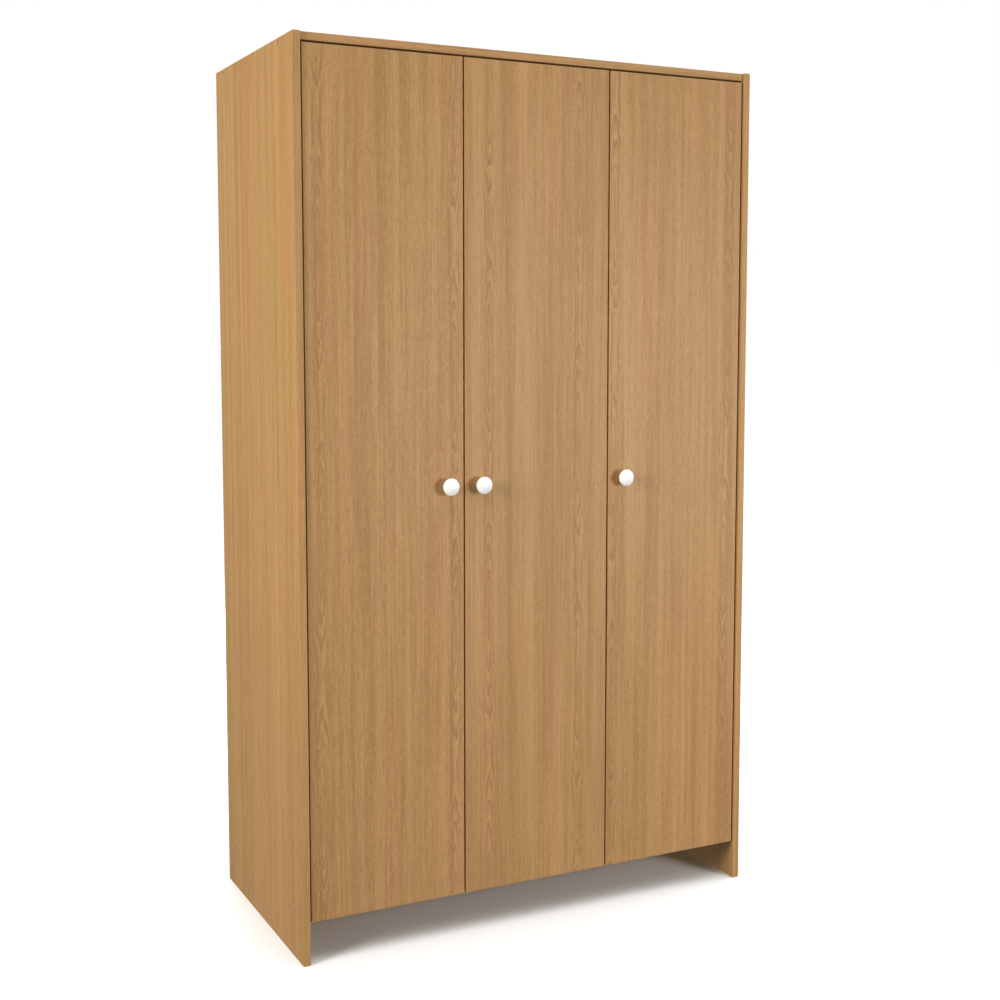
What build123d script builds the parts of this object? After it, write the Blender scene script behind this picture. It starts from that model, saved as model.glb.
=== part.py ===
from build123d import *
import math
import os

# Three-door wardrobe of oak-foil board, in millimetres.
# +Z is up, the doors face -Y, and the origin is under the middle of the whole object.

# ---- driving dimensions -------------------------------------------------------------
WIDTH = 1040.0
HEIGHT = 1800.0
DEPTH = 520.0                # front edges of the side panels to the rearmost face
BOARD = 15.0                 # thickness of every board
HARDBOARD = 3.0              # thickness of the back panels
EDGE_ROUND = 0.8             # rounding on the edge-banded corners

DOOR_WIDTH = 332.0
DOOR_BOTTOM = 85.0
DOOR_TOP = 1780.0
DOOR_RECESS = 4.0            # door faces lie this far behind the side panels' front edges
DOOR_GAP = (WIDTH - 2 * BOARD - 3 * DOOR_WIDTH) / 4
DOOR_CLEARANCE = 4.0         # between the doors' backs and everything fixed behind them

TOP_SETBACK = 6.0            # top panel's front edge behind the side panels' front edges
TOP_DROP = 0.5               # top panel's face below the side panels' ends
FLOOR_BOTTOM = 84.0
SUPPORT_HEIGHT = 40.0
SUPPORT_OFFSET = 269.0       # middle of the rail under the floor, from the front
REAR_RAIL_HEIGHT = 60.0
REAR_RAIL_MIDDLE = 949.0

HAT_SHELF_TOP = 1510.0
RIGHT_SHELF_TOPS = (420.0, 757.0, 1094.0, 1431.0)
SHELF_SETBACK = 12.0         # shelves' front edges behind the divider's front edge
SHELF_PLAY = 1.0             # gap between a loose shelf's end and the panel beside it

RAIL_RADIUS = 12.5
RAIL_WALL = 1.0
RAIL_HEIGHT = 1435.0
RAIL_OFFSET = 270.0

STRIP_FLANGE = 1.0           # thickness of the back joint strip's two flanges
STRIP_WIDTH = 16.0
STRIP_WEB = 1.2

KNOB_REACH = 25.0
KNOB_RADIUS = 17.5
KNOB_INSET = 35.0            # from the door's free edge to the knob's axis

# Concealed hinge, in its own frame: u runs from the door's hinge edge into the door,
# v from the door's face towards the back, w along the hinge axis.
HINGE_HEIGHTS = (185.0, 932.5, 1680.0)
CUP_U = 21.5
CUP_RADIUS = 17.5
CUP_FLOOR_V = 3.6
CUP_WALL = 1.0
CUP_PIVOT = (11.0, 9.0)
ARM_PIVOT = (22.6, 22.8)
PIN_RADIUS = 1.5
PIN_PLAY = 0.05
LINK_HALF = 4.5              # half the link's width along its pins
CHEEK_IN = 5.0               # inner and outer faces of the cheeks that hold the pins
CHEEK_OUT = 6.4
CHEEK_RADIUS = 3.2
PLATE_THICK = 3.0
PLATE_SCREW_V = 56.0
PLATE_SCREW_PITCH = 32.0
FLANGE_THICK = 1.2
FLANGE_SCREW_W = 24.0
FLANGE_SCREW_U = CUP_U + 6.0

# ---- derived places -----------------------------------------------------------------
KNOB_PROUD = KNOB_REACH - DOOR_RECESS
FRONT = -(DEPTH + KNOB_PROUD) / 2 + KNOB_PROUD
REAR = FRONT + DEPTH
BACK_OUT = REAR - STRIP_FLANGE
BACK_IN = BACK_OUT - HARDBOARD
INNER_REAR = BACK_IN - STRIP_FLANGE
SIDE_X = WIDTH / 2
INNER_X = SIDE_X - BOARD
DOOR_FACE = FRONT + DOOR_RECESS
DOOR_BACK = DOOR_FACE + BOARD
INNER_FRONT = DOOR_BACK + DOOR_CLEARANCE
SHELF_FRONT = INNER_FRONT + SHELF_SETBACK
FLOOR_TOP = FLOOR_BOTTOM + BOARD
TOP_FACE = HEIGHT - TOP_DROP
TOP_UNDER = TOP_FACE - BOARD

LEFT_DOOR_X = -INNER_X + DOOR_GAP
MIDDLE_DOOR_X = LEFT_DOOR_X + DOOR_WIDTH + DOOR_GAP
RIGHT_DOOR_X = MIDDLE_DOOR_X + DOOR_WIDTH + DOOR_GAP
DIVIDER_X = RIGHT_DOOR_X - DOOR_GAP / 2
DIVIDER_LEFT = DIVIDER_X - BOARD / 2
DIVIDER_RIGHT = DIVIDER_X + BOARD / 2
STRIP_X = (-INNER_X + DIVIDER_LEFT) / 2
KNOB_Z = (DOOR_BOTTOM + DOOR_TOP) / 2

# Each door: name, x of its hinge edge, +1 if it opens from the left, and how far the
# panel that carries its hinges lies from that edge, measured along u.
DOORS = (
    ("left", LEFT_DOOR_X, 1, -DOOR_GAP),
    ("middle", MIDDLE_DOOR_X + DOOR_WIDTH, -1, MIDDLE_DOOR_X + DOOR_WIDTH - DIVIDER_LEFT),
    ("right", RIGHT_DOOR_X + DOOR_WIDTH, -1, -DOOR_GAP),
)

OUT_LEFT = (1, 0, 0)
OUT_RIGHT = (-1, 0, 0)
UP = (0, 0, 1)
DOWN = (0, 0, -1)
FORWARD = (0, -1, 0)
BACKWARD = (0, 1, 0)


# ---- small tools --------------------------------------------------------------------
def block(x, y, z, rounding=0.0):
    """A box between the low and high values of x, y and z, with rounded edges if asked."""
    size = (x[1] - x[0], y[1] - y[0], z[1] - z[0])
    solid = Box(*size, align=(Align.MIN, Align.MIN, Align.MIN))
    if rounding:
        solid = fillet(solid.edges(), rounding)
    return Pos(x[0], y[0], z[0]) * solid


def rod(point, direction, radius, length):
    """A round rod from a point along a direction."""
    start = Plane(origin=point, z_dir=direction).location
    return start * Cylinder(radius, length, align=(Align.CENTER, Align.CENTER, Align.MIN))


def screw(point, direction, shank, length, head, head_height, drive):
    """A headed fastener: its head stands back from the point, its shank goes forward."""
    reach = Vector(*direction).normalized()
    top = Vector(*point) - reach * head_height
    body = rod(point, direction, shank, length - shank)
    tip = Plane(origin=Vector(*point) + reach * (length - shank), z_dir=direction).location
    body += tip * Cone(shank, shank * 0.3, shank, align=(Align.CENTER, Align.CENTER, Align.MIN))
    body += rod(tuple(top), direction, head, head_height)
    if drive:
        body -= rod(tuple(top), direction, drive, head_height * 0.7)
    return body


def cut_all(solid, tools):
    """The solid less every tool."""
    for tool in tools:
        solid -= tool
    return solid


def group(solids):
    """Several separate solids as one node."""
    return Compound(children=[part for item in solids for part in item.solids()])


nodes = {}


# ---- fasteners through the boards ---------------------------------------------------
SCREW_SHANK = 2.5
SCREW_LENGTH = 48.0
SCREW_HEAD = 3.6
SCREW_SEAT = 3.0
SCREW_DRIVE = 2.0
FIXING_OFFSETS = (87.0, 457.0)
DOWEL_RADIUS = 4.0
DOWEL_LENGTH = 28.0
DOWEL_IN_SIDE = 9.0
DOWEL_OFFSETS = (135.0, 405.0)


def screw_places():
    """Start and direction of every long screw, each starting on an outer face."""
    places = []
    for x, direction in ((-SIDE_X, OUT_LEFT), (SIDE_X, OUT_RIGHT)):
        for offset in FIXING_OFFSETS:
            for z in (TOP_FACE - BOARD / 2, FLOOR_TOP - BOARD / 2):
                places.append(((x, FRONT + offset, z), direction))
        places.append(((x, INNER_REAR - BOARD / 2, REAR_RAIL_MIDDLE), direction))
        support_z = FLOOR_BOTTOM - SUPPORT_HEIGHT / 2
        places.append(((x, FRONT + SUPPORT_OFFSET, support_z), direction))
    for offset in FIXING_OFFSETS:
        places.append(((DIVIDER_X, FRONT + offset, TOP_FACE), DOWN))
        places.append(((DIVIDER_X, FRONT + offset, FLOOR_BOTTOM), UP))
    return places


def dowel_places():
    """Start and direction of every dowel; each start lies inside the board it crosses."""
    places = []
    for x, direction in ((-INNER_X, OUT_LEFT), (INNER_X, OUT_RIGHT)):
        start_x = x - direction[0] * DOWEL_IN_SIDE
        for offset in DOWEL_OFFSETS:
            for z in (TOP_FACE - BOARD / 2, FLOOR_TOP - BOARD / 2):
                places.append(((start_x, FRONT + offset, z), direction))
    for offset in DOWEL_OFFSETS:
        places.append(((DIVIDER_X, FRONT + offset, TOP_UNDER + DOWEL_IN_SIDE), DOWN))
        places.append(((DIVIDER_X, FRONT + offset, FLOOR_TOP - DOWEL_IN_SIDE), UP))
    return places


def seated_screw(point, direction):
    """A long screw sunk so that its head is flush with the face it starts on."""
    seat = Vector(*point) + Vector(*direction) * SCREW_SEAT
    return screw(tuple(seat), direction, SCREW_SHANK, SCREW_LENGTH, SCREW_HEAD, SCREW_SEAT, SCREW_DRIVE)


def seated_screw_hole(point, direction):
    """The stepped hole for a sunk screw."""
    hole = rod(point, direction, SCREW_HEAD, SCREW_SEAT)
    return hole + rod(point, direction, SCREW_SHANK, SCREW_SEAT + SCREW_LENGTH)


screw_holes = [seated_screw_hole(*place) for place in screw_places()]
dowel_holes = [rod(point, direction, DOWEL_RADIUS, DOWEL_LENGTH) for point, direction in dowel_places()]
nodes["carcass_screws"] = group([seated_screw(*place) for place in screw_places()])
nodes["dowels"] = group(dowel_holes)


# ---- shelf pins and their rows of holes ---------------------------------------------
PIN_SHANK = 2.5
PIN_DEPTH = 7.0
PIN_COLLAR = 4.0
PIN_COLLAR_THICK = 0.8
PIN_REST = 8.0
PIN_PITCH = 32.0
PIN_OFFSETS = (75.0, 440.0)


def shelf_pin(x, y, shelf_under, direction):
    """A pin whose resting stud lies just under a shelf."""
    z = shelf_under - PIN_SHANK
    inside = (x - direction[0] * PIN_DEPTH, y, z)
    pin = rod(inside, direction, PIN_SHANK, PIN_DEPTH + PIN_REST)
    return pin + rod((x, y, z), direction, PIN_COLLAR, PIN_COLLAR_THICK)


def pin_hole(x, y, z, direction):
    """A blind hole for a shelf pin, opening on the face at x."""
    return rod((x, y, z), (-direction[0], 0, 0), PIN_SHANK, PIN_DEPTH)


shelf_ends = [(HAT_SHELF_TOP - BOARD, -INNER_X, DIVIDER_LEFT)]
shelf_ends += [(top - BOARD, DIVIDER_RIGHT, INNER_X) for top in RIGHT_SHELF_TOPS]
pins = []
pin_holes = []
for under, left_x, right_x in shelf_ends:
    for offset in PIN_OFFSETS:
        for x, direction in ((left_x, OUT_LEFT), (right_x, OUT_RIGHT)):
            pins.append(shelf_pin(x, FRONT + offset, under, direction))
            for row in (-1, 0, 1):
                height = under - PIN_SHANK + row * PIN_PITCH
                pin_holes.append(pin_hole(x, FRONT + offset, height, direction))
nodes["shelf_pins"] = group(pins)


# ---- hinges -------------------------------------------------------------------------
LINK_PATH = ((0, 0), (2.5, -6.5), (6.5, -11), (11.5, -10.5), (15.5, -7), (18, 0))
LINK_THICK = 2.0
LINK_EYE = 3.0
ARM_WEB = 1.4
ARM_DEPTH = 10.0             # from the arm's web towards the panel that carries it
ARM_STANDOFF = 4.5
ARM_FRONT_V = 46.0
ARM_REAR_V = 95.0
PLATE_FRONT_V = 42.0
PLATE_REAR_V = 84.0
PLATE_HALF = 8.0
WING_REACH = 25.0
WING_HALF = 7.0
ARM_SCREW_VS = (54.0, 72.0)


def flat(points, half):
    """A closed outline in u and v, thickened to the given half width along w."""
    outline = Polyline(*points, close=True)
    return extrude(make_face(outline), half, both=True)


def ribbon(points, width, half):
    """A bent strip of constant width along a path in u and v."""
    return extrude(trace(Spline(*points), line_width=width), half, both=True)


def between_cheeks(solid):
    """Keeps only what lies where the two cheeks are."""
    gap = Box(400, 400, 2 * CHEEK_IN)
    return solid - gap


def upright(u, v, radius, half):
    """A round bar parallel to the hinge axis."""
    return Pos(u, v, 0) * Cylinder(radius, 2 * half)


def hinge_pin(pivot):
    """A pin across both cheeks."""
    return upright(*pivot, PIN_RADIUS, CHEEK_OUT)


def hinge_cup():
    """The drilled-in cup with its flange and the two ears that hold the link's pin."""
    body = rod((CUP_U, BOARD, 0), (0, -1, 0), CUP_RADIUS, BOARD - CUP_FLOOR_V)
    lip = rod((CUP_U, BOARD + FLANGE_THICK, 0), (0, -1, 0), CUP_RADIUS + 1.5, FLANGE_THICK)
    wing = block(
        (FLANGE_SCREW_U - 6, FLANGE_SCREW_U + 6), (BOARD, BOARD + FLANGE_THICK),
        (-FLANGE_SCREW_W - 5, FLANGE_SCREW_W + 5))
    wing = fillet(wing.edges().filter_by(Axis.Y), 4)
    hollow = rod(
        (CUP_U, BOARD + FLANGE_THICK, 0), (0, -1, 0), CUP_RADIUS - CUP_WALL,
        BOARD + FLANGE_THICK - CUP_FLOOR_V - CUP_WALL)
    cup = body + lip + wing - hollow
    ear = block((4.6, 14.2), (CUP_FLOOR_V + 0.4, CUP_PIVOT[1]), (-CHEEK_OUT, CHEEK_OUT))
    ear += upright(*CUP_PIVOT, CHEEK_RADIUS, CHEEK_OUT)
    cup += between_cheeks(ear) & body
    cup -= upright(*CUP_PIVOT, PIN_RADIUS, CHEEK_OUT)
    return cut_all(cup, [cup_screw_hole(side) for side in (-1, 1)])


def cup_screw_hole(side):
    """The hole for one of the cup's two wood screws, through flange and into the door."""
    return rod((FLANGE_SCREW_U, BOARD + FLANGE_THICK, side * FLANGE_SCREW_W), (0, -1, 0), 1.75, 9.0)


def cup_screw(side):
    """One of the cup's two wood screws."""
    seat = (FLANGE_SCREW_U, BOARD + FLANGE_THICK, side * FLANGE_SCREW_W)
    return screw(seat, (0, -1, 0), 1.75, 9.0, 3.4, 1.2, 0.9)


def hinge_link():
    """The goose-necked link between the cup's pin and the arm's pin."""
    along = Vector(ARM_PIVOT[0] - CUP_PIVOT[0], ARM_PIVOT[1] - CUP_PIVOT[1]).normalized()
    across = Vector(-along.Y, along.X)
    span = math.dist(CUP_PIVOT, ARM_PIVOT)
    stretch = span / LINK_PATH[-1][0]
    path = []
    for a, b in LINK_PATH:
        spot = along * (a * stretch) + across * b
        path.append((CUP_PIVOT[0] + spot.X, CUP_PIVOT[1] + spot.Y))
    link = ribbon(path, LINK_THICK, LINK_HALF)
    for pivot in (CUP_PIVOT, ARM_PIVOT):
        link += upright(*pivot, LINK_EYE, LINK_HALF)
    for pivot in (CUP_PIVOT, ARM_PIVOT):
        link -= upright(*pivot, PIN_RADIUS + PIN_PLAY, LINK_HALF)
    return link


def hinge_arm(face):
    """The arm from the link's pin back along the panel; face is the panel's place on u."""
    outer = face + ARM_STANDOFF
    inner = outer + ARM_DEPTH
    nose_u, nose_v = ARM_PIVOT
    shoulder = (inner + 3.0, ARM_FRONT_V - 4)
    web_line = ((nose_u + 2.2, nose_v + 5.2), shoulder, (inner, ARM_FRONT_V + 3), (inner, ARM_REAR_V))
    cheek = (
        (nose_u + 3.1, nose_v + 0.6), (nose_u + 2.2, nose_v + 5.2), shoulder,
        (inner, ARM_FRONT_V + 3), (inner, ARM_REAR_V), (outer, ARM_REAR_V),
        (outer, ARM_FRONT_V), (nose_u - 3.1, nose_v + 0.6))
    arm = between_cheeks(flat(cheek, CHEEK_OUT) + upright(*ARM_PIVOT, CHEEK_RADIUS, CHEEK_OUT))
    web_in = [(u - ARM_WEB, v) for u, v in web_line]
    arm += flat(tuple(web_line) + tuple(reversed(web_in)), CHEEK_OUT)
    arm -= upright(*ARM_PIVOT, PIN_RADIUS, CHEEK_OUT)
    return cut_all(arm, [arm_screw_hole(face, v) for v in ARM_SCREW_VS])


def hinge_plate(face):
    """The mounting plate on the panel, with the block that the arm is screwed to."""
    plate = block((face, face + PLATE_THICK), (PLATE_FRONT_V, PLATE_REAR_V), (-PLATE_HALF, PLATE_HALF))
    wings = block(
        (face, face + PLATE_THICK), (PLATE_SCREW_V - WING_HALF, PLATE_SCREW_V + WING_HALF),
        (-WING_REACH, WING_REACH))
    wings = fillet(wings.edges().filter_by(Axis.X), 5)
    rise = ARM_STANDOFF + ARM_DEPTH - ARM_WEB
    stem = block((face, face + rise), (ARM_FRONT_V + 4, PLATE_REAR_V - 2), (-CHEEK_IN + 0.1, CHEEK_IN - 0.1))
    holes = [plate_screw_hole(face, side) for side in (-1, 1)]
    holes += [arm_screw_hole(face, v) for v in ARM_SCREW_VS]
    return cut_all(plate + wings + stem, holes)


def plate_screw_hole(face, side):
    """The hole for one of the plate's screws, through the plate and into the panel."""
    return rod((face + PLATE_THICK, PLATE_SCREW_V, side * PLATE_SCREW_PITCH / 2), (-1, 0, 0), 2.5, 12.0)


def plate_screw(face, side):
    """One of the plate's screws."""
    seat = (face + PLATE_THICK, PLATE_SCREW_V, side * PLATE_SCREW_PITCH / 2)
    return screw(seat, (-1, 0, 0), 2.5, 12.0, 4.0, 1.5, 1.2)


def arm_screw_hole(face, v):
    """The hole for one of the arm's two screws."""
    return rod((face + ARM_STANDOFF + ARM_DEPTH, v, 0), (-1, 0, 0), 2.0, 9.0)


def arm_screw(face, v):
    """One of the arm's two screws: height fixing and side adjustment."""
    return screw((face + ARM_STANDOFF + ARM_DEPTH, v, 0), (-1, 0, 0), 2.0, 9.0, 3.5, 1.6, 1.2)


def placed(solid, hinge_x, sense):
    """The same hinge piece at every hinge height of a door."""
    if sense < 0:
        solid = mirror(solid, about=Plane.YZ)
    return [Pos(hinge_x, DOOR_FACE, height) * solid for height in HINGE_HEIGHTS]


plate_screws = []
plate_holes = []
arm_screws = []
arm_pins = []
for name, hinge_x, sense, face in DOORS:
    nodes[f"hinge_cups_{name}"] = group(placed(hinge_cup(), hinge_x, sense))
    nodes[f"hinge_links_{name}"] = group(placed(hinge_link(), hinge_x, sense))
    nodes[f"hinge_arms_{name}"] = group(placed(hinge_arm(face), hinge_x, sense))
    nodes[f"hinge_plates_{name}"] = group(placed(hinge_plate(face), hinge_x, sense))
    nodes[f"hinge_cup_pins_{name}"] = group(placed(hinge_pin(CUP_PIVOT), hinge_x, sense))
    cup_screws = []
    for side in (-1, 1):
        cup_screws += placed(cup_screw(side), hinge_x, sense)
        plate_screws += placed(plate_screw(face, side), hinge_x, sense)
        plate_holes += placed(plate_screw_hole(face, side), hinge_x, sense)
    nodes[f"hinge_cup_screws_{name}"] = group(cup_screws)
    for v in ARM_SCREW_VS:
        arm_screws += placed(arm_screw(face, v), hinge_x, sense)
    arm_pins += placed(hinge_pin(ARM_PIVOT), hinge_x, sense)
nodes["hinge_plate_screws"] = group(plate_screws)
nodes["hinge_arm_screws"] = group(arm_screws)
nodes["hinge_arm_pins"] = group(arm_pins)


# ---- doors and knobs ----------------------------------------------------------------
KNOB_SCREW = 2.0
KNOB_SCREW_BITE = 10.0
KNOB_SCREW_HEAD = 4.0


def knob(x):
    """A turned mushroom knob, its axis along Y."""
    rim_front = (13.6, 22.6)
    sag = KNOB_REACH - rim_front[1]
    dome_radius = (rim_front[0] ** 2 + sag ** 2) / (2 * sag)
    half_turn = math.asin(rim_front[0] / dome_radius) / 2
    dome_middle = (
        dome_radius * math.sin(half_turn),
        KNOB_REACH - dome_radius * (1 - math.cos(half_turn)))
    outline = [
        Line((0, 0), (8.5, 0)),
        Line((8.5, 0), (8.5, 1.5)),
        ThreePointArc((8.5, 1.5), (6.6, 6.5), (9.0, 11.5)),
        ThreePointArc((9.0, 11.5), (14.6, 13.4), (KNOB_RADIUS, 17.0)),
        ThreePointArc((KNOB_RADIUS, 17.0), (16.6, 20.4), rim_front),
        ThreePointArc(rim_front, dome_middle, (0, KNOB_REACH)),
        Line((0, KNOB_REACH), (0, 0)),
    ]
    half_section = Plane.XZ * make_face(Wire(outline))
    turned = revolve(half_section, Axis.Z)
    facing = Plane(origin=(x, DOOR_FACE, KNOB_Z), z_dir=FORWARD).location
    return facing * turned - knob_screw_hole(x)


def knob_screw_hole(x):
    """The hole through the door and into the knob."""
    return rod((x, DOOR_BACK, KNOB_Z), FORWARD, KNOB_SCREW, BOARD + KNOB_SCREW_BITE)


def door_holes(hinge_x, sense):
    """Cup bores and cup screw holes of one door."""
    bore = rod((CUP_U, BOARD, 0), (0, -1, 0), CUP_RADIUS, BOARD - CUP_FLOOR_V)
    holes = placed(bore, hinge_x, sense)
    for side in (-1, 1):
        holes += placed(cup_screw_hole(side), hinge_x, sense)
    return holes


for name, hinge_x, sense, face in DOORS:
    free_x = hinge_x + sense * DOOR_WIDTH
    span = (min(hinge_x, free_x), max(hinge_x, free_x))
    knob_x = free_x - sense * KNOB_INSET
    slab = block(span, (DOOR_FACE, DOOR_BACK), (DOOR_BOTTOM, DOOR_TOP), EDGE_ROUND)
    slab = cut_all(slab, door_holes(hinge_x, sense))
    nodes[f"door_{name}"] = slab - knob_screw_hole(knob_x)
    nodes[f"knob_{name}"] = knob(knob_x)
    nodes[f"knob_screw_{name}"] = screw(
        (knob_x, DOOR_BACK, KNOB_Z), FORWARD, KNOB_SCREW, BOARD + KNOB_SCREW_BITE,
        KNOB_SCREW_HEAD, 2.0, 1.2)


# ---- door buffers -------------------------------------------------------------------
BUFFER_RADIUS = 5.0
BUFFER_GAP = 0.4
BUFFER_INSET = 22.0
buffers = []
for name, hinge_x, sense, face in DOORS:
    buffer_x = hinge_x + sense * (DOOR_WIDTH - BUFFER_INSET)
    pad = rod((buffer_x, INNER_FRONT, FLOOR_TOP - BOARD / 2), FORWARD, BUFFER_RADIUS, DOOR_CLEARANCE - BUFFER_GAP)
    buffers.append(pad)
nodes["door_buffers"] = group(buffers)


# ---- hanging rail -------------------------------------------------------------------
SOCKET_FLANGE = 25.0
SOCKET_FLANGE_THICK = 3.0
SOCKET_DEPTH = 14.0
SOCKET_WALL = 3.0
SOCKET_SCREW_PITCH = 40.0
RAIL_END_PLAY = 1.0
RAIL_Y = FRONT + RAIL_OFFSET


def rail_socket(x, direction):
    """A cup on a round flange that carries one end of the hanging rail."""
    base = (x, RAIL_Y, RAIL_HEIGHT)
    floor = (x + direction[0] * SOCKET_FLANGE_THICK, RAIL_Y, RAIL_HEIGHT)
    socket = rod(base, direction, SOCKET_FLANGE, SOCKET_FLANGE_THICK)
    socket += rod(base, direction, RAIL_RADIUS + SOCKET_WALL, SOCKET_DEPTH)
    socket -= rod(floor, direction, RAIL_RADIUS + 0.2, SOCKET_DEPTH)
    return cut_all(socket, [socket_screw_hole(x, direction, side) for side in (-1, 1)])


def socket_screw_place(x, direction, side):
    """Where a socket screw's head sits."""
    return (x + direction[0] * SOCKET_FLANGE_THICK, RAIL_Y, RAIL_HEIGHT + side * SOCKET_SCREW_PITCH / 2)


def socket_screw_hole(x, direction, side):
    """The hole through a socket's flange and into the panel."""
    return rod(socket_screw_place(x, direction, side), (-direction[0], 0, 0), 1.75, 12.0)


socket_screws = []
socket_holes = []
for name, x, direction in (("left", -INNER_X, OUT_LEFT), ("right", DIVIDER_LEFT, OUT_RIGHT)):
    nodes[f"rail_socket_{name}"] = rail_socket(x, direction)
    for side in (-1, 1):
        spot = socket_screw_place(x, direction, side)
        socket_screws.append(screw(spot, (-direction[0], 0, 0), 1.75, 12.0, 3.2, 1.2, 0.9))
        socket_holes.append(socket_screw_hole(x, direction, side))
nodes["rail_socket_screws"] = group(socket_screws)
rail_start = -INNER_X + SOCKET_FLANGE_THICK + RAIL_END_PLAY
rail_length = DIVIDER_LEFT - SOCKET_FLANGE_THICK - RAIL_END_PLAY - rail_start
tube = rod((rail_start, RAIL_Y, RAIL_HEIGHT), OUT_LEFT, RAIL_RADIUS, rail_length)
nodes["hanging_rail"] = tube - rod((rail_start, RAIL_Y, RAIL_HEIGHT), OUT_LEFT, RAIL_RADIUS - RAIL_WALL, rail_length)


# ---- wall fixings -------------------------------------------------------------------
WALL_HOLE_SPACING = 700.0
WALL_HOLE_RADIUS = 3.0
WALL_HOLE_DROP = 25.0
BRACKET_THICK = 2.0
BRACKET_WIDTH = 24.0
BRACKET_LEG = 40.0
BRACKET_SCREW_OFFSET = 28.0


def wall_bracket(x):
    """An angle bracket under the top panel, against the back panel."""
    spread = (x - BRACKET_WIDTH / 2, x + BRACKET_WIDTH / 2)
    rear = INNER_REAR + STRIP_FLANGE
    across = block(spread, (rear - BRACKET_LEG, rear), (TOP_UNDER - BRACKET_THICK, TOP_UNDER))
    down = block(spread, (rear - BRACKET_THICK, rear), (TOP_UNDER - BRACKET_LEG, TOP_UNDER))
    return across + down - bracket_screw_hole(x) - wall_hole(x)


def wall_hole(x):
    """The hole for a wall screw, through the bracket and the back panel."""
    return rod((x, BACK_IN - 2 * BRACKET_THICK, TOP_UNDER - WALL_HOLE_DROP), BACKWARD, WALL_HOLE_RADIUS, 12.0)


def bracket_screw_place(x):
    """Where a bracket screw's head sits, under the bracket."""
    return (x, BACK_IN - BRACKET_SCREW_OFFSET, TOP_UNDER - BRACKET_THICK)


def bracket_screw_hole(x):
    """The hole for a bracket screw, up into the top panel."""
    return rod(bracket_screw_place(x), UP, 1.75, 13.0)


bracket_xs = (-WALL_HOLE_SPACING / 2, WALL_HOLE_SPACING / 2)
for name, x in zip(("left", "right"), bracket_xs):
    nodes[f"wall_bracket_{name}"] = wall_bracket(x)
nodes["wall_bracket_screws"] = group(
    [screw(bracket_screw_place(x), UP, 1.75, 13.0, 3.4, 1.4, 0.9) for x in bracket_xs])


# ---- back panels, joint strip and nails ---------------------------------------------
BACK_BOTTOM = FLOOR_BOTTOM + 1.0
BACK_TOP = TOP_FACE - 1.0
BACK_SIDE = SIDE_X - 1.0
NAIL_SHANK = 0.8
NAIL_LENGTH = 18.0
NAIL_HEAD = 2.2
NAIL_HEAD_THICK = 0.7
NAIL_SPACING = 140.0
SEAM_NAIL = 4.0              # nails beside the joint on the divider, from its middle


def evenly(low, high):
    """Places from low to high, about a nail spacing apart."""
    count = max(2, round((high - low) / NAIL_SPACING) + 1)
    return [low + (high - low) * i / (count - 1) for i in range(count)]


def back_span(name):
    """The x range of one back panel."""
    return {
        "left": (-BACK_SIDE, STRIP_X - STRIP_WEB / 2),
        "centre": (STRIP_X + STRIP_WEB / 2, DIVIDER_X - 0.25),
        "right": (DIVIDER_X + 0.25, BACK_SIDE),
    }[name]


side_line = SIDE_X - BOARD / 2
nail_spots = []
for z in evenly(BACK_BOTTOM + 60, BACK_TOP - 60):
    for x in (-side_line, DIVIDER_X - SEAM_NAIL, DIVIDER_X + SEAM_NAIL, side_line):
        nail_spots.append((x, z))
for z in (FLOOR_TOP - BOARD / 2, TOP_FACE - BOARD / 2):
    for low, high in ((-INNER_X + 50, STRIP_X - 50), (STRIP_X + 50, DIVIDER_LEFT - 50), (DIVIDER_RIGHT + 50, INNER_X - 50)):
        for x in evenly(low, high):
            nail_spots.append((x, z))
nail_holes = [rod((x, BACK_OUT, z), FORWARD, NAIL_SHANK, NAIL_LENGTH) for x, z in nail_spots]
nodes["back_nails"] = group([
    hole + rod((x, BACK_OUT + NAIL_HEAD_THICK, z), FORWARD, NAIL_HEAD, NAIL_HEAD_THICK)
    for hole, (x, z) in zip(nail_holes, nail_spots)])


def touching(holes, box):
    """Only the holes whose bounding boxes reach into the given box."""
    kept = []
    for hole in holes:
        reach = hole.bounding_box()
        apart = (
            reach.max.X < box.min.X or reach.min.X > box.max.X
            or reach.max.Y < box.min.Y or reach.min.Y > box.max.Y
            or reach.max.Z < box.min.Z or reach.min.Z > box.max.Z)
        if not apart:
            kept.append(hole)
    return kept


wall_holes = [wall_hole(x) for x in bracket_xs]
for name in ("left", "centre", "right"):
    sheet = block(back_span(name), (BACK_IN, BACK_OUT), (BACK_BOTTOM, BACK_TOP))
    nodes[f"back_panel_{name}"] = cut_all(sheet, touching(nail_holes + wall_holes, sheet.bounding_box()))

strip_heights = (FLOOR_TOP + 1, TOP_UNDER - 1)
strip_x = (STRIP_X - STRIP_WIDTH / 2, STRIP_X + STRIP_WIDTH / 2)
strip = block((STRIP_X - STRIP_WEB / 2, STRIP_X + STRIP_WEB / 2), (INNER_REAR, REAR), strip_heights)
strip += block(strip_x, (INNER_REAR, BACK_IN), strip_heights)
strip += block(strip_x, (BACK_OUT, REAR), strip_heights)
nodes["back_joint_strip"] = strip


# ---- boards -------------------------------------------------------------------------
board_holes = screw_holes + dowel_holes + pin_holes + plate_holes + socket_holes + nail_holes
board_holes += [bracket_screw_hole(x) for x in bracket_xs]


def board(x, y, z, rounding=EDGE_ROUND):
    """A board with every hole that reaches into it."""
    solid = block(x, y, z, rounding)
    return cut_all(solid, touching(board_holes, solid.bounding_box()))


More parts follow.
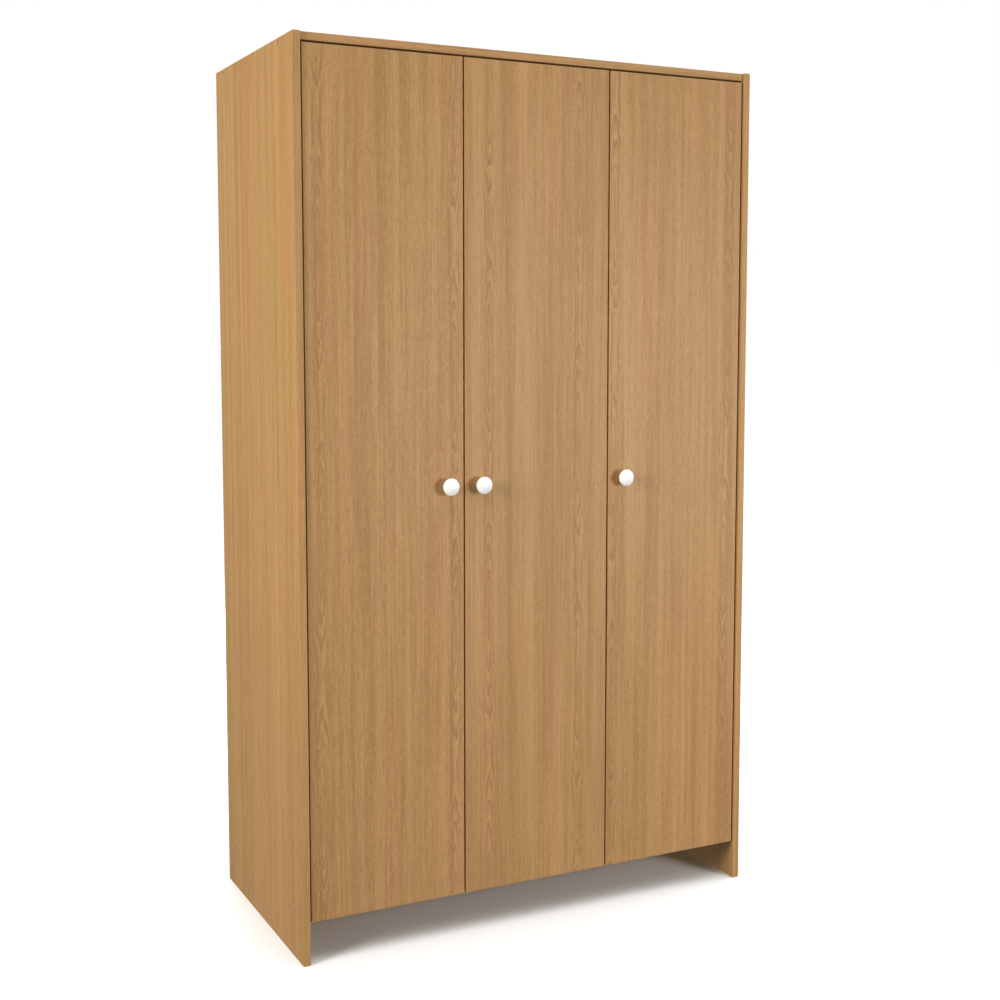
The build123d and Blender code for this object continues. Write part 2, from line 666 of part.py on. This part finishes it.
rear_rail_z = (REAR_RAIL_MIDDLE - REAR_RAIL_HEIGHT / 2, REAR_RAIL_MIDDLE + REAR_RAIL_HEIGHT / 2)
rear_rail_y = (INNER_REAR - BOARD, INNER_REAR)
support_y = (FRONT + SUPPORT_OFFSET - BOARD / 2, FRONT + SUPPORT_OFFSET + BOARD / 2)
full_inner = (-INNER_X, INNER_X)

nodes["side_panel_left"] = board((-SIDE_X, -INNER_X), (FRONT, BACK_IN), (0, HEIGHT))
nodes["side_panel_right"] = board((INNER_X, SIDE_X), (FRONT, BACK_IN), (0, HEIGHT))
nodes["top_panel"] = board(full_inner, (FRONT + TOP_SETBACK, BACK_IN), (TOP_UNDER, TOP_FACE), 0.4)
nodes["floor_panel"] = board(full_inner, (INNER_FRONT, BACK_IN), (FLOOR_BOTTOM, FLOOR_TOP), 0.4)
nodes["floor_support_rail"] = board(
    full_inner, support_y, (FLOOR_BOTTOM - SUPPORT_HEIGHT, FLOOR_BOTTOM), 0.4)
nodes["rear_rail"] = board(full_inner, rear_rail_y, rear_rail_z, 0.4)
notch = block(
    (DIVIDER_LEFT, DIVIDER_RIGHT), (rear_rail_y[0], BACK_IN), (rear_rail_z[0], rear_rail_z[1]))
divider = board((DIVIDER_LEFT, DIVIDER_RIGHT), (INNER_FRONT, BACK_IN), (FLOOR_TOP, TOP_UNDER), 0.4)
nodes["divider_panel"] = divider - notch

nodes["hat_shelf"] = board(
    (-INNER_X + SHELF_PLAY, DIVIDER_LEFT - SHELF_PLAY), (SHELF_FRONT, INNER_REAR - 0.5),
    (HAT_SHELF_TOP - BOARD, HAT_SHELF_TOP), 0.4)
for number, top in enumerate(RIGHT_SHELF_TOPS, start=1):
    nodes[f"shelf_{number}"] = board(
        (DIVIDER_RIGHT + SHELF_PLAY, INNER_X - SHELF_PLAY), (SHELF_FRONT, INNER_REAR - 0.5),
        (top - BOARD, top), 0.4)


# ---- files --------------------------------------------------------------------------
os.makedirs("parts", exist_ok=True)
for name, solid in nodes.items():
    solid.label = name
    export_step(solid, f"parts/{name}.step")
print(len(nodes), "nodes")
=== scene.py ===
import bpy
import math
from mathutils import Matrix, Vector


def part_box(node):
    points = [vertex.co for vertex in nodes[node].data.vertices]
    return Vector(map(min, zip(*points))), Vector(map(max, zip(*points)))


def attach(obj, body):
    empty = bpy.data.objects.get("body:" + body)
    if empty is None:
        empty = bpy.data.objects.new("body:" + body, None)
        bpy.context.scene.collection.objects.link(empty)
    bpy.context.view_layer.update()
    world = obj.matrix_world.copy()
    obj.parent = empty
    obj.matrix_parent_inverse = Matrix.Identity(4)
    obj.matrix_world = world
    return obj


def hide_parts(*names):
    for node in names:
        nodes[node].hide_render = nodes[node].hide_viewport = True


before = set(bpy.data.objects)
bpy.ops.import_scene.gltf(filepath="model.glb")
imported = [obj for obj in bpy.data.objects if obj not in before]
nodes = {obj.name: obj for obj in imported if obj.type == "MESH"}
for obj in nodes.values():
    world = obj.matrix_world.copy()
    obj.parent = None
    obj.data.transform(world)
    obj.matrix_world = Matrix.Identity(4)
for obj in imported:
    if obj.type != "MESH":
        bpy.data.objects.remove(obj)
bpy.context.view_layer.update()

SIDES = ("left", "middle", "right")


# ---- places taken from the frame ----------------------------------------------------
side_low, side_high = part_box("side_panel_left")
FRONT_Y = side_low.y
LEFT_X = side_low.x
HEIGHT = side_high.z
BACK_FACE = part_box("back_panel_left")[1].y


# ---- shader sums --------------------------------------------------------------------
class Link:
    """A shader number. Sums written with it become Math nodes."""

    def __init__(self, finish, socket):
        self.finish = finish
        self.socket = socket

    def sum(self, operation, first, second=0.0):
        return self.finish.node("ShaderNodeMath", {"operation": operation}, {0: first, 1: second})

    def __add__(self, other):
        return self.sum("ADD", self, other)

    def __radd__(self, other):
        return self.sum("ADD", other, self)

    def __sub__(self, other):
        return self.sum("SUBTRACT", self, other)

    def __rsub__(self, other):
        return self.sum("SUBTRACT", other, self)

    def __mul__(self, other):
        return self.sum("MULTIPLY", self, other)

    def __rmul__(self, other):
        return self.sum("MULTIPLY", other, self)

    def __truediv__(self, other):
        return self.sum("DIVIDE", self, other)

    def __pow__(self, other):
        return self.sum("POWER", self, other)

    def cosine(self):
        return self.sum("COSINE", self)

    def root(self):
        return self.sum("SQRT", self)

    def fraction(self):
        return self.sum("FRACT", self)

    def size(self):
        return self.sum("ABSOLUTE", self)


class Finish:
    """A procedural material, built up around one Principled surface."""

    def __init__(self, name):
        self.material = bpy.data.materials.new(name)
        self.material.use_nodes = True
        self.tree = self.material.node_tree
        self.tree.nodes.clear()
        self.skin = self.tree.nodes.new("ShaderNodeBsdfPrincipled")
        output = self.tree.nodes.new("ShaderNodeOutputMaterial")
        self.tree.links.new(self.skin.outputs["BSDF"], output.inputs["Surface"])

    def feed(self, socket, value):
        """Links a socket to a Link, or sets it to a plain value."""
        if isinstance(value, Link):
            self.tree.links.new(value.socket, socket)
        elif isinstance(value, tuple) and len(value) == 3 and socket.type == "RGBA":
            socket.default_value = (*value, 1.0)
        else:
            socket.default_value = value

    def node(self, kind, settings=None, values=None, output=0):
        """Adds a node with its settings, feeds its sockets and gives one of its outputs."""
        made = self.tree.nodes.new(kind)
        for key, value in (settings or {}).items():
            if key == "stops":
                self.set_stops(made.color_ramp, value)
            else:
                setattr(made, key, value)
        for key, value in (values or {}).items():
            self.feed(made.inputs[key], value)
        return Link(self, made.outputs[output])

    def set_stops(self, ramp, stops):
        """Sets a ramp's stops to (place, colour) pairs."""
        while len(ramp.elements) < len(stops):
            ramp.elements.new(0.5)
        for element, (place, colour) in zip(ramp.elements, stops):
            element.position = place
            element.color = (*colour, 1.0)

    def object_axes(self):
        """The piece's own x, y and z as numbers."""
        place = self.node("ShaderNodeTexCoord", output="Object")
        return [self.node("ShaderNodeSeparateXYZ", values={0: place}, output=i) for i in range(3)]

    def vector(self, x, y, z):
        return self.node("ShaderNodeCombineXYZ", values={0: x, 1: y, 2: z})

    def noise(self, place, detail=2.0, roughness=0.5, scale=1.0):
        return self.node(
            "ShaderNodeTexNoise", {"noise_dimensions": "3D"},
            {"Vector": place, "Scale": scale, "Detail": detail, "Roughness": roughness})

    def smooth(self, value, low, high):
        """0 below low, 1 above high and a soft step between; low may be the larger."""
        return self.node(
            "ShaderNodeMapRange", {"interpolation_type": "SMOOTHSTEP"},
            {"Value": value, "From Min": low, "From Max": high, "To Min": 0.0, "To Max": 1.0})

    def mix(self, amount, first, second, blend="MIX"):
        """Mixes two colours."""
        return self.node(
            "ShaderNodeMix", {"data_type": "RGBA", "blend_type": blend},
            {0: amount, 6: first, 7: second}, output=2)

    def bump(self, height, strength, distance):
        normal = self.node(
            "ShaderNodeBump", values={"Strength": strength, "Distance": distance, "Height": height})
        self.feed(self.skin.inputs["Normal"], normal)

    def set(self, **values):
        """Feeds the surface's sockets, named with underscores for spaces."""
        for key, value in values.items():
            self.feed(self.skin.inputs[key.replace("_", " ")], value)


def rgb(red, green, blue):
    """A display colour, 0 to 255, as the linear colour that shaders work in."""
    def linear(value):
        share = value / 255
        return share / 12.92 if share <= 0.04045 else ((share + 0.055) / 1.055) ** 2.4
    return (linear(red), linear(green), linear(blue))


# ---- oak foil -----------------------------------------------------------------------
PRINT_HEIGHT = 1.068         # the print on the foil repeats after this length
CHIP_DEPTH = 0.0007          # how far in from a cut end the bare chipboard shows
CHIPS_PER_METRE = 420.0
RING_STEP = 4.6              # millimetres from one line of a flame to the next
FOIL_SHARE = 0.4             # how much of the wood's colour comes from the warm and olive bands
# Streaks of the grain, finest first: width, length, strength, offset of its noise, detail.
GRAIN = {
    "fleck": (0.0013, 0.007, 0.75, 1.3, 1.0),
    "fine": (0.0019, 0.02, 0.7, 2.1, 2.0),
    "medium": (0.0052, 0.22, 0.7, 2.9, 2.0),
    "wide": (0.016, 1.1, 0.78, 4.1, 2.0),
    "broad": (0.05, 3.0, 0.5, 6.7, 1.0),
}


def streaks(finish, across, through, along, width, length, seed, detail=2.0):
    """Noise drawn out along the grain, as wide and long as given, between 0 and 1."""
    place = finish.vector(across / width + seed, through / width + seed * 0.7, along / length - seed)
    return finish.noise(place, detail=detail)


def flame(finish, across, through, along, middle, start, breadth, weave):
    """Nested pointed loops about a line at middle, as where a board is cut flat to the rings."""
    offset = (across - middle) * 1000.0 + (weave - 0.5) * 12.0
    swell = breadth * (1.0 - ((along - start) * (2 * math.pi / (PRINT_HEIGHT / 2))).cosine())
    ring = (offset * offset + swell * swell + 1.0).root()
    ragged = streaks(finish, across, through, along, 0.005, 0.06, start * 9.0, 3.0)
    turn = (ring * (1.0 / RING_STEP) + ragged * 1.1).fraction()
    patchy = finish.smooth(streaks(finish, across, through, along, 0.012, 0.09, start * 5.0 + 3.0), 0.3, 0.52)
    reach = finish.smooth(offset.size(), breadth * 1.9, breadth * 0.7) * patchy
    shade = finish.smooth((offset + breadth * 0.7).size(), breadth * 0.9, 0.0)
    return (turn ** 6.0 * 0.8 + turn * 0.4 - 0.12) * reach + shade * 0.12


def oak(name, grain, tint, seed, flames=(), ends=None, contrast=1.0):
    """Printed oak foil on board. grain is the axis it runs along; flames are places across."""
    finish = Finish(name)
    x, y, z = finish.object_axes()
    across, through, along = {"door": (x, y, z), "side": (y, x, z), "level": (y, z, x)}[grain]
    weave = streaks(finish, across, through, along, 0.09, 0.35, seed)
    sway = across + (weave - 0.5) * 0.006
    grain_lines = {}
    depth = 0.0
    for size, (width, length, strength, offset, detail) in GRAIN.items():
        grain_lines[size] = streaks(finish, sway, through, along, width, length, seed + offset, detail)
        depth = depth + (grain_lines[size] - 0.5) * strength
    fine = grain_lines["fine"]
    for middle, start, breadth in flames:
        depth = depth + flame(finish, across, through, along, middle, start, breadth, weave)
    depth = 0.5 + depth * contrast
    pore_noise = streaks(finish, sway, through, along, 0.0007, 0.011, seed + 9.2, 1.0)
    pores = finish.smooth(pore_noise, 0.64, 0.76) * finish.smooth(grain_lines["medium"], 0.42, 0.62)
    light, dark, pink, olive = [tuple(c * t for c, t in zip(colour, tint)) for colour in (
        rgb(206, 165, 117), rgb(156, 113, 68), rgb(188, 140, 97), rgb(172, 138, 86))]
    wood = finish.mix(finish.smooth(depth, 0.0, 1.0), light, dark)
    warmth = streaks(finish, sway, through, along, 0.02, 0.9, seed + 12.4, 2.0)
    cast = finish.mix(finish.smooth(warmth, 0.3, 0.7), olive, pink)
    wood = finish.mix(FOIL_SHARE * contrast, wood, cast)
    wood = finish.mix(pores * 0.3, wood, tuple(c * 0.55 for c in dark))
    roughness = 0.46 + fine * 0.12
    relief = fine * 0.35 - pores
    if ends is not None:
        chips = finish.node(
            "ShaderNodeTexVoronoi", {"feature": "F1"},
            {"Vector": finish.vector(x, y, z), "Scale": CHIPS_PER_METRE}, output=1)
        raw = finish.mix(0.75, rgb(196, 165, 120), chips, "SOFT_LIGHT")
        bare = finish.smooth(z, ends + CHIP_DEPTH, ends + CHIP_DEPTH * 0.7)
        wood = finish.mix(bare, wood, raw)
        roughness = roughness + bare * 0.4
    finish.set(Base_Color=wood, Roughness=roughness)
    finish.skin.inputs["Specular IOR Level"].default_value = 0.22
    finish.bump(relief, 0.2, 0.0002)
    return finish.material


DOOR_TINT = (0.85, 0.83, 0.76)
# The sides carry the same foil as the doors; their tint is a touch brighter and yellower, painted light
# standing in for the warmer lamp light that falls on them.
SIDE_TINT_WITH_PAINTED_LIGHT = (0.86, 0.84, 0.74)
INNER_TINT = (0.85, 0.83, 0.76)


# ---- other finishes -----------------------------------------------------------------
def hardboard():
    """Thin pressed board: foil-printed inside, bare brown fibre outside."""
    finish = Finish("hardboard")
    x, y, z = finish.object_axes()
    grain = streaks(finish, x, y, z, 0.008, 0.3, 3.3, 3.0)
    fine = streaks(finish, x, y, z, 0.0018, 0.04, 5.1, 2.0)
    shade = finish.smooth(grain * 0.6 + fine * 0.4, 0.25, 0.75)
    printed = finish.mix(shade, rgb(198, 160, 114), rgb(160, 120, 80))
    fibre = finish.noise(finish.vector(x, y, z), detail=6.0, roughness=0.75, scale=190.0)
    cloud = finish.noise(finish.vector(x, y, z), detail=4.0, roughness=0.6, scale=9.0)
    pressed = finish.smooth(fibre * 0.8 + cloud * 0.2, 0.3, 0.7)
    bare = finish.mix(pressed, rgb(168, 124, 84), rgb(128, 88, 55))
    outside = finish.smooth(y, BACK_FACE - 0.0012, BACK_FACE - 0.0008)
    finish.set(Base_Color=finish.mix(outside, printed, bare), Roughness=0.5 + outside * 0.3)
    finish.bump(fibre * outside + fine * 0.2, 0.35, 0.0003)
    return finish.material


def metal(name, colour, roughness, scratch, scale):
    """Plated steel with fine draw lines and slight clouding."""
    finish = Finish(name)
    x, y, z = finish.object_axes()
    lines = finish.noise(finish.vector(x * 3000.0, y * 260.0, z * 3000.0), detail=2.0)
    cloud = finish.noise(finish.vector(x, y, z), detail=3.0, scale=scale)
    tone = finish.mix(finish.smooth(cloud, 0.3, 0.7), tuple(c * 0.86 for c in colour), colour)
    finish.set(Base_Color=tone, Roughness=roughness + lines * scratch + cloud * 0.08)
    finish.skin.inputs["Metallic"].default_value = 1.0
    finish.bump(lines, 0.08, 0.00005)
    return finish.material


def plastic(name, colour, roughness, speckle=0.05, coat=0.0):
    """Moulded plastic with a faint orange-peel skin."""
    finish = Finish(name)
    x, y, z = finish.object_axes()
    peel = finish.noise(finish.vector(x, y, z), detail=2.0, scale=420.0)
    cloud = finish.noise(finish.vector(x, y, z), detail=2.0, scale=30.0)
    tone = finish.mix(finish.smooth(cloud, 0.3, 0.7), tuple(c * (1 - speckle) for c in colour), colour)
    finish.set(Base_Color=tone, Roughness=roughness + peel * 0.06)
    finish.skin.inputs["Coat Weight"].default_value = coat
    finish.skin.inputs["Coat Roughness"].default_value = 0.18
    finish.bump(peel, 0.04, 0.0002)
    return finish.material


def beech():
    """Plain beech for the dowels."""
    finish = Finish("beech")
    x, y, z = finish.object_axes()
    fleck = finish.noise(finish.vector(x * 60.0, y * 900.0, z * 900.0), detail=3.0)
    finish.set(Base_Color=finish.mix(finish.smooth(fleck, 0.3, 0.7), rgb(222, 184, 140), rgb(190, 146, 102)))
    finish.skin.inputs["Roughness"].default_value = 0.6
    return finish.material


def dress(name, material):
    """Gives a CAD node its finish."""
    for slot in nodes[name].material_slots:
        slot.material = material


nickel = metal("nickel", rgb(205, 203, 196), 0.24, 0.12, 90.0)
zinc = metal("zinc", rgb(196, 198, 200), 0.32, 0.15, 140.0)
chrome = metal("chrome", rgb(222, 222, 224), 0.09, 0.06, 20.0)
steel = metal("drawn steel", rgb(176, 176, 178), 0.3, 0.12, 120.0)
wire = metal("nail wire", rgb(150, 148, 146), 0.38, 0.14, 200.0)
white_gloss = plastic("white knob", rgb(240, 240, 240), 0.3, 0.02, 0.25)
white_matt = plastic("white moulding", rgb(226, 226, 222), 0.42, 0.04)
clear_pad = plastic("buffer pad", rgb(214, 214, 206), 0.35, 0.06)
brown_strip = plastic("brown profile", rgb(128, 92, 60), 0.5, 0.1)

DOOR_FLAME = 9.0             # millimetres that a flame's loops reach to each side
SIDE_FLAME = 5.0
SIDE_CONTRAST = 1.5
FLAMES = {
    "left": ((0.027, 0.30), (0.312, 0.62)),
    "middle": ((0.054, 0.12), (0.262, 0.48)),
    "right": ((0.013, 0.42), (0.302, 0.71)),
}
for number, side in enumerate(SIDES):
    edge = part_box(f"door_{side}")[0].x
    flames = [(edge + place, start, DOOR_FLAME) for place, start in FLAMES[side]]
    dress(f"door_{side}", oak(f"oak door {side}", "door", DOOR_TINT, 2.0 + 3.7 * number, flames))
    dress(f"hinge_cups_{side}", nickel)
    dress(f"hinge_links_{side}", nickel)
    dress(f"hinge_arms_{side}", nickel)
    dress(f"hinge_plates_{side}", nickel)
    dress(f"hinge_cup_pins_{side}", steel)
    dress(f"hinge_cup_screws_{side}", zinc)
    dress(f"knob_screw_{side}", zinc)

left_flames = ((FRONT_Y + 0.12, 0.2, SIDE_FLAME), (FRONT_Y + 0.37, 0.05, SIDE_FLAME))
right_flames = ((FRONT_Y + 0.33, 0.5, SIDE_FLAME),)
# The side panels take the tint with painted warm light.
dress("side_panel_left", oak("oak side left", "side", SIDE_TINT_WITH_PAINTED_LIGHT, 14.2, left_flames, 0.0, SIDE_CONTRAST))
dress("side_panel_right", oak("oak side right", "side", SIDE_TINT_WITH_PAINTED_LIGHT, 19.6, right_flames, 0.0, SIDE_CONTRAST))
dress("divider_panel", oak("oak divider", "side", INNER_TINT, 23.8, ((FRONT_Y + 0.2, 0.4, DOOR_FLAME),)))
level_boards = ("top_panel", "floor_panel", "floor_support_rail", "rear_rail", "hat_shelf", "shelf_1",
                "shelf_2", "shelf_3", "shelf_4")
level_flames = ((FRONT_Y + 0.24, 0.3, DOOR_FLAME),)
for number, board in enumerate(level_boards):
    dress(board, oak(f"oak {board}", "level", INNER_TINT, 31.0 + 2.3 * number, level_flames))
back_board = hardboard()
for side in ("left", "centre", "right"):
    dress(f"back_panel_{side}", back_board)
dress("back_joint_strip", brown_strip)
dress("hanging_rail", chrome)
dress("dowels", beech())
dress("back_nails", wire)
dress("shelf_pins", zinc)
for board in ("carcass_screws", "hinge_plate_screws", "hinge_arm_screws", "rail_socket_screws",
              "wall_bracket_screws", "wall_bracket_left", "wall_bracket_right"):
    dress(board, zinc)
dress("hinge_arm_pins", steel)
for side in ("left", "right"):
    dress(f"rail_socket_{side}", white_matt)
dress("door_buffers", clear_pad)


# ---- turned knobs -------------------------------------------------------------------
# Rings of the knob from its foot to its crown: how far out, and how wide, as shares of
# the knob's depth and of its rim.
KNOB_RINGS = (
    (0.0, 0.486), (0.07, 0.486), (0.12, 0.44), (0.22, 0.385), (0.34, 0.377), (0.45, 0.42), (0.53, 0.56),
    (0.59, 0.78), (0.62, 0.95), (0.655, 1.0), (0.7, 1.008), (0.75, 0.985), (0.82, 0.88), (0.9, 0.7),
    (0.96, 0.45), (0.993, 0.2),
)
KNOB_FACETS = 48


def turned_knob(side):
    """The first knob: a ring drawn out from the door's face, step by step, and closed at both ends."""
    low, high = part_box(f"knob_{side}")
    middle = (low + high) / 2
    rim, depth = (high.x - low.x) / 2, high.y - low.y
    bpy.ops.object.select_all(action="DESELECT")
    bpy.ops.mesh.primitive_circle_add(
        vertices=KNOB_FACETS, radius=rim * KNOB_RINGS[0][1], fill_type="NGON",
        location=(middle.x, high.y, middle.z), rotation=(math.pi / 2, 0.0, 0.0))
    knob = bpy.context.object
    bpy.ops.object.transform_apply(location=True, rotation=True, scale=True)
    bpy.ops.object.mode_set(mode="EDIT")
    bpy.ops.mesh.select_all(action="SELECT")
    bpy.ops.mesh.region_to_loop()
    for (near, narrow), (far, broad) in zip(KNOB_RINGS, KNOB_RINGS[1:]):
        bpy.ops.mesh.extrude_edges_move(TRANSFORM_OT_translate={"value": (0.0, -(far - near) * depth, 0.0)})
        grow = broad / narrow
        bpy.ops.transform.resize(
            value=(grow, 1.0, grow), center_override=(middle.x, high.y - far * depth, middle.z))
    bpy.ops.mesh.extrude_edges_move(
        TRANSFORM_OT_translate={"value": (0.0, -(1.0 - KNOB_RINGS[-1][0]) * depth, 0.0)})
    bpy.ops.mesh.merge(type="CENTER")
    bpy.ops.mesh.select_all(action="SELECT")
    bpy.ops.mesh.normals_make_consistent(inside=False)
    bpy.ops.object.mode_set(mode="OBJECT")
    smoother = knob.modifiers.new("smoother", "SUBSURF")
    smoother.levels = 2
    smoother.render_levels = 2
    bpy.ops.object.modifier_apply(modifier=smoother.name)
    bpy.ops.object.shade_smooth()
    return knob


def copied_knob(first, side):
    """A copy of the first knob, with a mesh of its own, moved to another door."""
    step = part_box(f"knob_{side}")[0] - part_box(f"knob_{SIDES[0]}")[0]
    bpy.ops.object.select_all(action="DESELECT")
    first.select_set(True)
    bpy.context.view_layer.objects.active = first
    bpy.ops.object.duplicate(linked=False)
    bpy.ops.transform.translate(value=step)
    bpy.ops.object.transform_apply(location=True, rotation=True, scale=True)
    return bpy.context.object


first_knob = turned_knob(SIDES[0])
for side in SIDES:
    knob = first_knob if side == SIDES[0] else copied_knob(first_knob, side)
    knob.name = f"turned_knob_{side}"
    knob.data.materials.clear()
    knob.data.materials.append(white_gloss)
    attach(knob, f"door_{side}_body")
    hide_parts(f"knob_{side}")


# ---- camera, light and floor --------------------------------------------------------
CAMERA_FROM_CORNER = Vector((-0.8785, -2.5972, 1.2485))   # from the front left foot
CAMERA_TURN = math.radians(26.75)
CAMERA_TILT = math.radians(5.01)
LENS = 51.65
FRAME_SHIFT = -0.046

camera_data = bpy.data.cameras.new("camera")
camera_data.lens = LENS
camera_data.sensor_width = 36.0
camera_data.shift_y = FRAME_SHIFT
camera = bpy.data.objects.new("camera", camera_data)
bpy.context.scene.collection.objects.link(camera)
camera.location = Vector((LEFT_X, FRONT_Y, 0.0)) + CAMERA_FROM_CORNER
camera.rotation_euler = (math.pi / 2 - CAMERA_TILT, 0.0, -CAMERA_TURN)
bpy.context.scene.camera = camera


def area_light(name, place, target, size, power, colour=(1.0, 1.0, 1.0)):
    """A soft square light aimed at a point."""
    data = bpy.data.lights.new(name, "AREA")
    data.shape = "SQUARE"
    data.size = size
    data.energy = power
    data.color = colour
    light = bpy.data.objects.new(name, data)
    bpy.context.scene.collection.objects.link(light)
    light.location = place
    light.rotation_euler = (Vector(target) - Vector(place)).to_track_quat("-Z", "Y").to_euler()


area_light("front", (1.8, -3.1, 1.05), (0.1, FRONT_Y, 0.9), 1.0, 71.0)
area_light("left", (-3.4, -1.1, 1.75), (LEFT_X, 0.0, 1.0), 1.2, 108.0, (1.0, 0.98, 0.9))
area_light("right", (3.6, -0.1, 1.5), (-LEFT_X, 0.1, 0.9), 1.6, 70.0)
area_light("behind", (0.0, 3.8, 1.5), (0.0, BACK_FACE, 0.9), 0.9, 90.0)

overhead = bpy.data.lights.new("overhead", "SUN")
overhead.energy = 2.6
overhead.angle = math.radians(60)
overhead_lamp = bpy.data.objects.new("overhead", overhead)
bpy.context.scene.collection.objects.link(overhead_lamp)

AMBIENT = 0.3
world = bpy.data.worlds.new("studio")
world.use_nodes = True
studio = world.node_tree
studio.nodes.clear()


def backdrop(strength):
    """An even white surround of the given strength."""
    shade = studio.nodes.new("ShaderNodeBackground")
    shade.inputs["Color"].default_value = (1.0, 1.0, 1.0, 1.0)
    shade.inputs["Strength"].default_value = strength
    return shade


# What the camera sees behind the wardrobe is white; what lights the wardrobe is dimmer.
seen = studio.nodes.new("ShaderNodeLightPath")
either = studio.nodes.new("ShaderNodeMixShader")
sky = studio.nodes.new("ShaderNodeOutputWorld")
studio.links.new(seen.outputs["Is Camera Ray"], either.inputs[0])
studio.links.new(backdrop(AMBIENT).outputs[0], either.inputs[1])
studio.links.new(backdrop(1.0).outputs[0], either.inputs[2])
studio.links.new(either.outputs[0], sky.inputs["Surface"])
bpy.context.scene.world = world

FLOOR_SIZE = 60.0
bpy.ops.object.select_all(action="DESELECT")
bpy.ops.mesh.primitive_plane_add(size=FLOOR_SIZE, location=(0.0, 0.0, 0.0))
floor = bpy.context.object
floor.name = "floor"
paper = Finish("pale floor")
floor_x, floor_y, floor_z = paper.object_axes()
mottle = paper.noise(paper.vector(floor_x, floor_y, floor_z), detail=3.0, scale=3.0)
# The floor is darker near the wardrobe and lightens out to six metres away: painted shade that offsets the
# lamps' stronger light on the near floor, so it looks evenly pale.
far = paper.smooth((floor_x * floor_x + floor_y * floor_y).root(), 1.0, 6.0)
sheet = paper.mix(far, (0.79, 0.79, 0.79), (0.97, 0.97, 0.97))
paper.set(Base_Color=paper.mix(mottle * 0.1, sheet, (1.0, 1.0, 1.0)))
paper.skin.inputs["Roughness"].default_value = 0.9
paper.skin.inputs["Specular IOR Level"].default_value = 0.1
floor.data.materials.append(paper.material)
floor.visible_diffuse = False      # the wardrobe is lit by the lamps, not by the white sheet
floor.visible_glossy = False

bpy.context.scene.view_settings.view_transform = "Standard"
